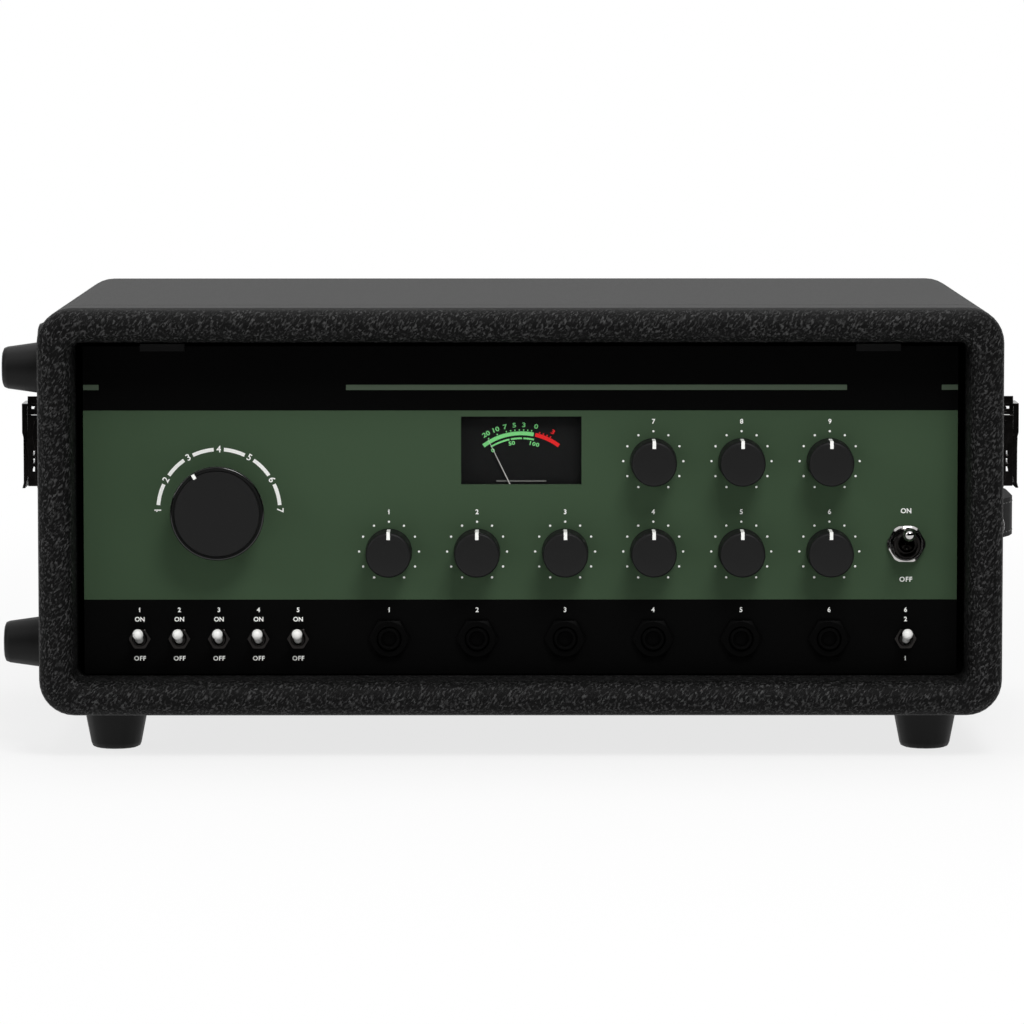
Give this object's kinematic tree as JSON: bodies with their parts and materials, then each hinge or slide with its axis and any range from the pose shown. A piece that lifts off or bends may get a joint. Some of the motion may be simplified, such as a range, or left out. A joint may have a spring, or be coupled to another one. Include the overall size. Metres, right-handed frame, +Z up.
{
  "type": "tape echo unit",
  "caption": "Tape echo unit in a black carrying case: recessed control panel with knobs, switches, sockets and a level meter, hinged lid with draw latches over a tape loop deck.",
  "frame": {"origin": "on the surface the unit stands on, under the middle of its outline", "axes": "+X to the right seen from the front, +Y from the control panel to the back, +Z up"},
  "size_m": [0.4518, 0.2864, 0.1965],
  "materials": {
    "case_vinyl": "plywood covered in black grained vinyl",
    "rubber_black": "matte moulded rubber",
    "dark_nickel": "dark polished nickel plate",
    "steel_zinc": "bright zinc plated sheet",
    "steel_bright": "ground steel",
    "chrome": "polished chrome",
    "strap_vinyl": "black vinyl strap over a steel band",
    "panel_paint": "satin black with a dark green band",
    "knob_plastic": "fine matte moulded black",
    "black_plastic": "moulded black",
    "clear_plastic": "clear acrylic",
    "needle_paint": "white lacquer",
    "deck_plate": "brushed aluminium plate",
    "tape_film": "brown oxide film",
    "laminate": "green solder resist",
    "brass": "turned brass"
  },
  "bodies": {
    "case": {"case_body": "case_vinyl", "bottom_foot_front_left": "rubber_black", "bottom_foot_front_right": "rubber_black", "bottom_foot_rear_left": "rubber_black", "bottom_foot_rear_right": "rubber_black", "side_foot_front_lower": "rubber_black", "side_foot_rear_lower": "rubber_black", "lid_hinge_lower_leaf": "dark_nickel", "lid_hinge_pin": "steel_bright", "left_latch_base": "dark_nickel", "right_latch_base": "dark_nickel", "handle_strap": "strap_vinyl", "handle_cap_front": "dark_nickel", "handle_cap_rear": "dark_nickel", "front_panel": "panel_paint", "control_board": "laminate", "power_switch": "chrome", "meter_case": "black_plastic", "meter_window": "clear_plastic", "chassis": "steel_zinc", "tape_deck": "deck_plate", "tray_cover": "clear_plastic", "tape_loop": "tape_film", "tape_heads": "steel_bright", "motor": "steel_bright", "power_transformer": "steel_bright", "reverb_tank": "steel_zinc", "circuit_board": "laminate", "rear_inlet": "black_plastic"},
    "lid": {"lid_shell": "case_vinyl", "lid_hinge_upper_leaf": "dark_nickel", "left_latch_keeper": "dark_nickel", "right_latch_keeper": "dark_nickel", "side_foot_front_upper": "rubber_black", "side_foot_rear_upper": "rubber_black"},
    "mode_knob": {"mode_knob": "knob_plastic"},
    "knob_input_volume": {"knob_input_volume": "knob_plastic"},
    "knob_chorus_rate": {"knob_chorus_rate": "knob_plastic"},
    "knob_chorus_depth": {"knob_chorus_depth": "knob_plastic"},
    "knob_reverb_volume": {"knob_reverb_volume": "knob_plastic"},
    "knob_speed": {"knob_speed": "knob_plastic"},
    "knob_echo_volume": {"knob_echo_volume": "knob_plastic"},
    "knob_bass": {"knob_bass": "knob_plastic"},
    "knob_treble": {"knob_treble": "knob_plastic"},
    "knob_feedback": {"knob_feedback": "knob_plastic"},
    "direct_toggle_lever": {"direct_toggle_lever": "chrome"},
    "motor_toggle_lever": {"motor_toggle_lever": "chrome"},
    "sound_on_sound_toggle_lever": {"sound_on_sound_toggle_lever": "chrome"},
    "echo_toggle_lever": {"echo_toggle_lever": "chrome"},
    "chorus_toggle_lever": {"chorus_toggle_lever": "chrome"},
    "level_toggle_lever": {"level_toggle_lever": "chrome"},
    "power_toggle_lever": {"power_toggle_lever": "chrome"},
    "meter_needle": {"meter_needle": "needle_paint"},
    "right_latch_lever": {"right_latch_lever": "dark_nickel"},
    "right_latch_claw": {"right_latch_claw": "dark_nickel"},
    "left_latch_lever": {"left_latch_lever": "dark_nickel"},
    "left_latch_claw": {"left_latch_claw": "dark_nickel"},
    "capstan_flywheel": {"capstan_flywheel": "brass"},
    "pinch_arm": {"pinch_arm": "steel_bright"},
    "pinch_roller": {"pinch_roller": "rubber_black"}
  },
  "joints": [
    {"name": "lid_hinge", "type": "hinge", "parent": "case", "child": "lid", "pos_m": [0.0021, 0.14015, 0.1443], "axis": [-1, 0, 0], "range_deg": [0, 100]},
    {"name": "mode_knob_turn", "type": "hinge", "parent": "case", "child": "mode_knob", "pos_m": [-0.1301, -0.12315, 0.10659], "axis": [0, 1, 0], "range_deg": [-60, 120]},
    {"name": "knob_input_volume_turn", "type": "hinge", "parent": "case", "child": "knob_input_volume", "pos_m": [-0.05557, -0.12315, 0.08829], "axis": [0, 1, 0], "range_deg": [-150, 150]},
    {"name": "knob_chorus_rate_turn", "type": "hinge", "parent": "case", "child": "knob_chorus_rate", "pos_m": [-0.01693, -0.12315, 0.08829], "axis": [0, 1, 0], "range_deg": [-150, 150]},
    {"name": "knob_chorus_depth_turn", "type": "hinge", "parent": "case", "child": "knob_chorus_depth", "pos_m": [0.02172, -0.12315, 0.08829], "axis": [0, 1, 0], "range_deg": [-150, 150]},
    {"name": "knob_reverb_volume_turn", "type": "hinge", "parent": "case", "child": "knob_reverb_volume", "pos_m": [0.06037, -0.12315, 0.08829], "axis": [0, 1, 0], "range_deg": [-150, 150]},
    {"name": "knob_speed_turn", "type": "hinge", "parent": "case", "child": "knob_speed", "pos_m": [0.09901, -0.12315, 0.08829], "axis": [0, 1, 0], "range_deg": [-150, 150]},
    {"name": "knob_echo_volume_turn", "type": "hinge", "parent": "case", "child": "knob_echo_volume", "pos_m": [0.13766, -0.12315, 0.08829], "axis": [0, 1, 0], "range_deg": [-150, 150]},
    {"name": "knob_bass_turn", "type": "hinge", "parent": "case", "child": "knob_bass", "pos_m": [0.06037, -0.12315, 0.12807], "axis": [0, 1, 0], "range_deg": [-150, 150]},
    {"name": "knob_treble_turn", "type": "hinge", "parent": "case", "child": "knob_treble", "pos_m": [0.09901, -0.12315, 0.12807], "axis": [0, 1, 0], "range_deg": [-150, 150]},
    {"name": "knob_feedback_turn", "type": "hinge", "parent": "case", "child": "knob_feedback", "pos_m": [0.13766, -0.12315, 0.12807], "axis": [0, 1, 0], "range_deg": [-150, 150]},
    {"name": "direct_toggle_throw", "type": "hinge", "parent": "case", "child": "direct_toggle_lever", "pos_m": [-0.16517, -0.11825, 0.0499], "axis": [1, 0, 0], "range_deg": [0, 28]},
    {"name": "motor_toggle_throw", "type": "hinge", "parent": "case", "child": "motor_toggle_lever", "pos_m": [-0.14777, -0.11825, 0.0499], "axis": [1, 0, 0], "range_deg": [0, 28]},
    {"name": "sound_on_sound_toggle_throw", "type": "hinge", "parent": "case", "child": "sound_on_sound_toggle_lever", "pos_m": [-0.13037, -0.11825, 0.0499], "axis": [1, 0, 0], "range_deg": [0, 28]},
    {"name": "echo_toggle_throw", "type": "hinge", "parent": "case", "child": "echo_toggle_lever", "pos_m": [-0.11298, -0.11825, 0.0499], "axis": [1, 0, 0], "range_deg": [0, 28]},
    {"name": "chorus_toggle_throw", "type": "hinge", "parent": "case", "child": "chorus_toggle_lever", "pos_m": [-0.09558, -0.11825, 0.0499], "axis": [1, 0, 0], "range_deg": [0, 28]},
    {"name": "level_toggle_throw", "type": "hinge", "parent": "case", "child": "level_toggle_lever", "pos_m": [0.17128, -0.11825, 0.0499], "axis": [1, 0, 0], "range_deg": [0, 28]},
    {"name": "power_toggle_throw", "type": "hinge", "parent": "case", "child": "power_toggle_lever", "pos_m": [0.17128, -0.12005, 0.0918], "axis": [1, 0, 0], "range_deg": [0, 28]},
    {"name": "meter_needle_swing", "type": "hinge", "parent": "case", "child": "meter_needle", "pos_m": [0.00248, -0.11115, 0.10701], "axis": [0, 1, 0], "range_deg": [0, 52], "stiffness_Nm_per_rad": 0.0005},
    {"name": "right_latch_lever_turn", "type": "hinge", "parent": "case", "child": "right_latch_lever", "pos_m": [0.2167, -0.07215, 0.1376], "axis": [0, -1, 0], "range_deg": [0, 100]},
    {"name": "right_latch_claw_turn", "type": "hinge", "parent": "right_latch_lever", "child": "right_latch_claw", "pos_m": [0.2214, -0.07215, 0.13589], "axis": [0, -1, 0], "range_deg": [-114, 0]},
    {"name": "left_latch_lever_turn", "type": "hinge", "parent": "case", "child": "left_latch_lever", "pos_m": [-0.2125, -0.07215, 0.1376], "axis": [0, 1, 0], "range_deg": [0, 100]},
    {"name": "left_latch_claw_turn", "type": "hinge", "parent": "left_latch_lever", "child": "left_latch_claw", "pos_m": [-0.2172, -0.07215, 0.13589], "axis": [0, 1, 0], "range_deg": [-114, 0]},
    {"name": "capstan_turn", "type": "hinge", "parent": "case", "child": "capstan_flywheel", "pos_m": [0.0981, -0.04895, 0.12], "axis": [0, 0, 1], "continuous": true},
    {"name": "pinch_arm_swing", "type": "hinge", "parent": "case", "child": "pinch_arm", "pos_m": [0.1301, -0.06515, 0.142], "axis": [0, 0, 1], "range_deg": [0, 12], "stiffness_Nm_per_rad": 0.05},
    {"name": "pinch_roller_turn", "type": "hinge", "parent": "pinch_arm", "child": "pinch_roller", "pos_m": [0.0981, -0.05945, 0.147], "axis": [0, 0, 1], "continuous": true}
  ],
  "couplings": [
    {"joint": "right_latch_claw_turn", "follows": "right_latch_lever_turn", "ratio": -1.14},
    {"joint": "left_latch_claw_turn", "follows": "left_latch_lever_turn", "ratio": -1.14},
    {"joint": "pinch_roller_turn", "follows": "capstan_turn", "ratio": -0.2}
  ]
}
